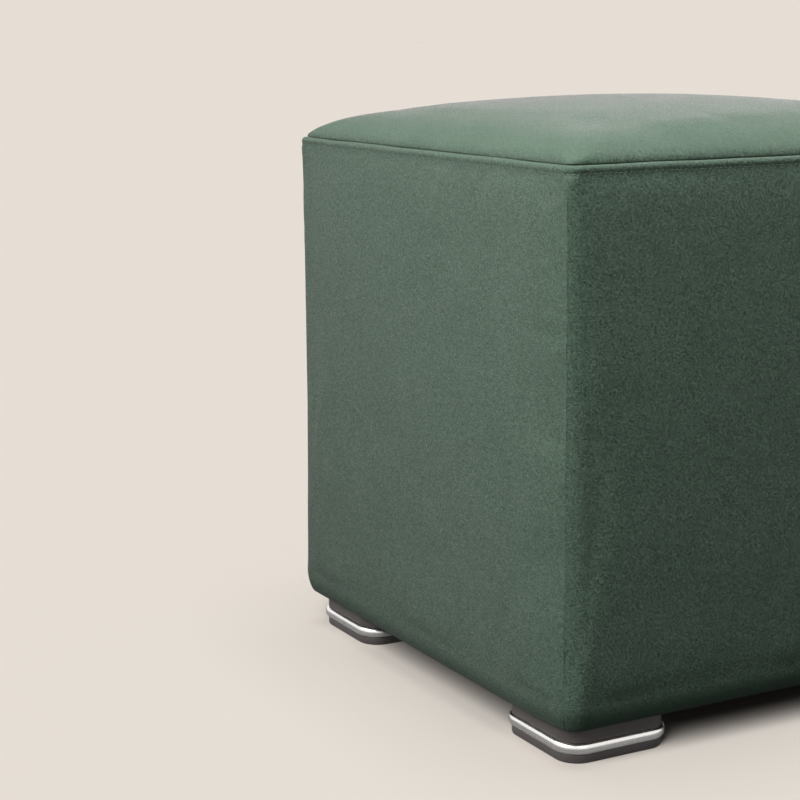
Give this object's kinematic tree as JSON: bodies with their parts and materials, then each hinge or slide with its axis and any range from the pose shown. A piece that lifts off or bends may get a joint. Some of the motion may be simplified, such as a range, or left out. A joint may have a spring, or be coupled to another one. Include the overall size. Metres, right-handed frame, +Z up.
{
  "type": "cube pouf stool",
  "caption": "Upholstered cube pouf stool with a crowned seat, padded side panels, a top-stitched edge band under the seat's seam, and low square feet with bright bands.",
  "frame": {"origin": "middle of the footprint, on the floor that the feet stand on", "axes": "+Z up; the front panel faces -Y and the right panel faces +X; all four sides are alike"},
  "size_m": [0.4094, 0.4094, 0.4492],
  "materials": {
    "cover_fabric": "dusty green short-pile velour, matt, with a soft pale sheen at glancing angles",
    "base_cloth": "plain dark lining cloth over a board",
    "foot_plastic": "dark taupe moulded plastic, satin",
    "foot_chrome": "polished, slightly satin bright band"
  },
  "bodies": {
    "root": {"seat_top": "cover_fabric", "panel_front": "cover_fabric", "panel_right": "cover_fabric", "panel_back": "cover_fabric", "panel_left": "cover_fabric", "base_panel": "base_cloth", "foot_front_left": "foot_plastic", "foot_front_right": "foot_plastic", "foot_back_right": "foot_plastic", "foot_back_left": "foot_plastic", "foot_trim_front_left": "foot_chrome", "foot_trim_front_right": "foot_chrome", "foot_trim_back_right": "foot_chrome", "foot_trim_back_left": "foot_chrome"}
  },
  "joints": []
}
